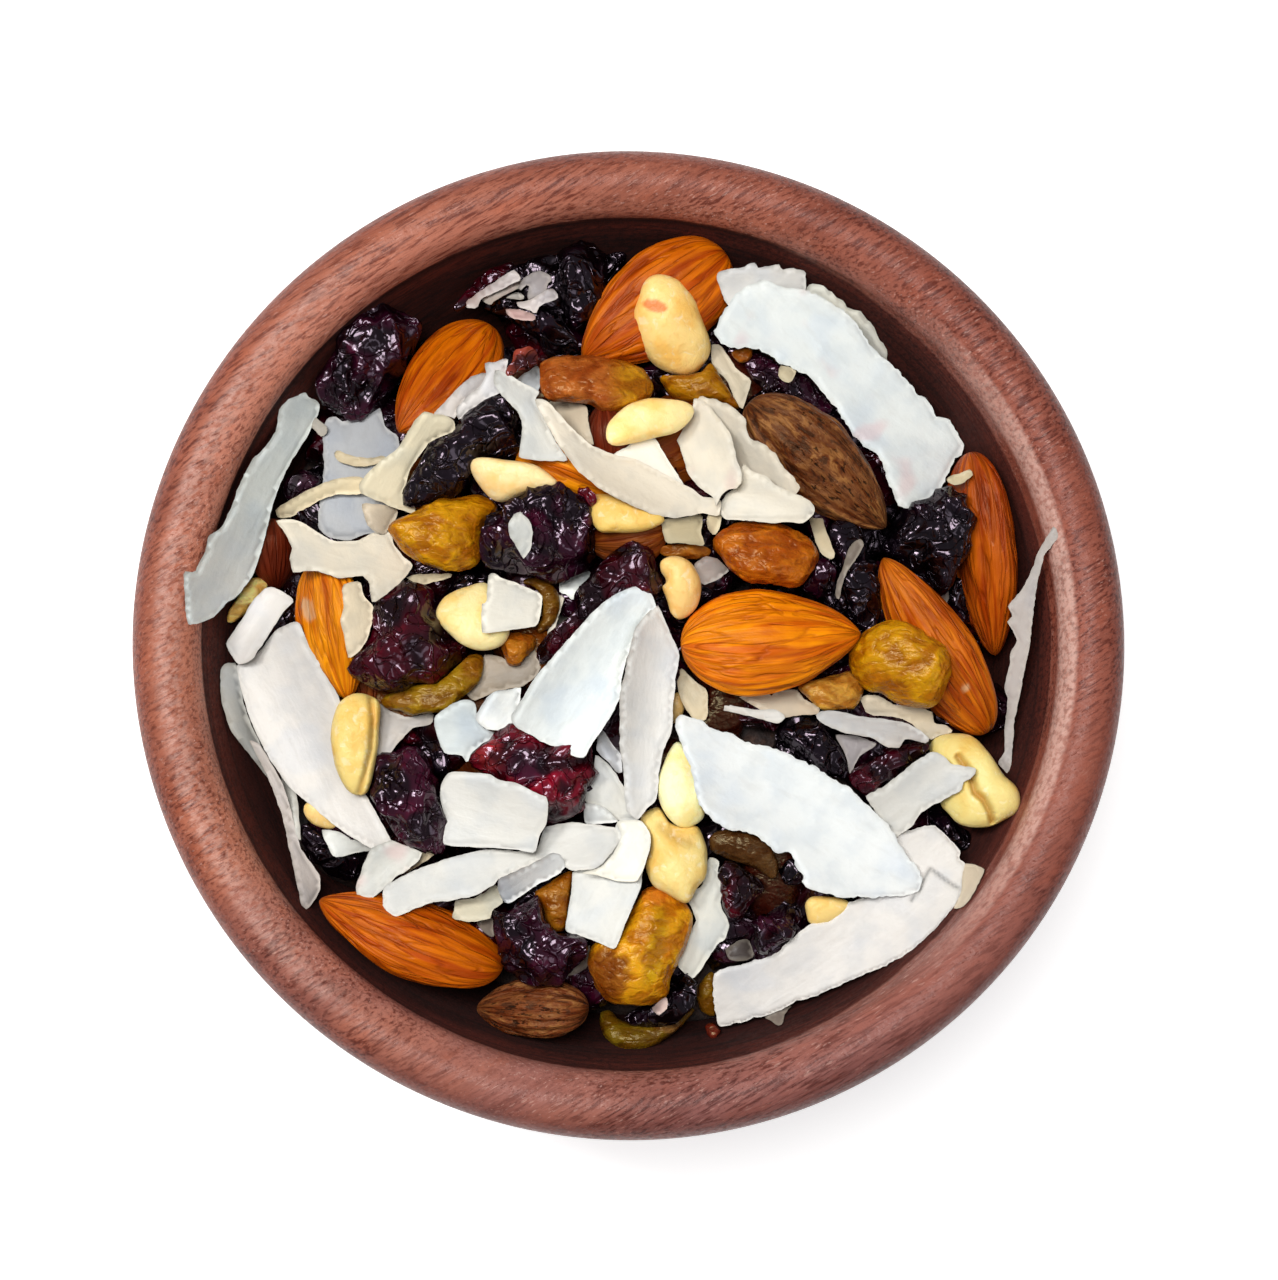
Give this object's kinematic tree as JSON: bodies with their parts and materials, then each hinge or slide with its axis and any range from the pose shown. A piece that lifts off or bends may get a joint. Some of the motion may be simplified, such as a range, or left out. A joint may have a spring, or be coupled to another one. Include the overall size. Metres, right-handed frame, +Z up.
{
  "type": "bowl of trail mix",
  "caption": "Small turned wooden bowl with a thick rounded rim and a flat foot, heaped with trail mix of whole almonds, dried cranberries, raisins, blanched peanuts and coconut chips.",
  "frame": {"origin": "middle of the flat foot, on the table", "axes": "+Z up through the middle of the bowl; -Y is the front and -X the left, where the heap stands highest against the wall; +X is the right"},
  "size_m": [0.128, 0.128, 0.0543],
  "materials": {
    "bowl_wood": "satin",
    "trail_mix": "matte",
    "almond": "matte",
    "coconut": "matte",
    "dried_fruit": "satin",
    "peanut": "matte"
  },
  "bodies": {
    "root": {"bowl": "bowl_wood", "trail_mix": "trail_mix"}
  },
  "joints": []
}
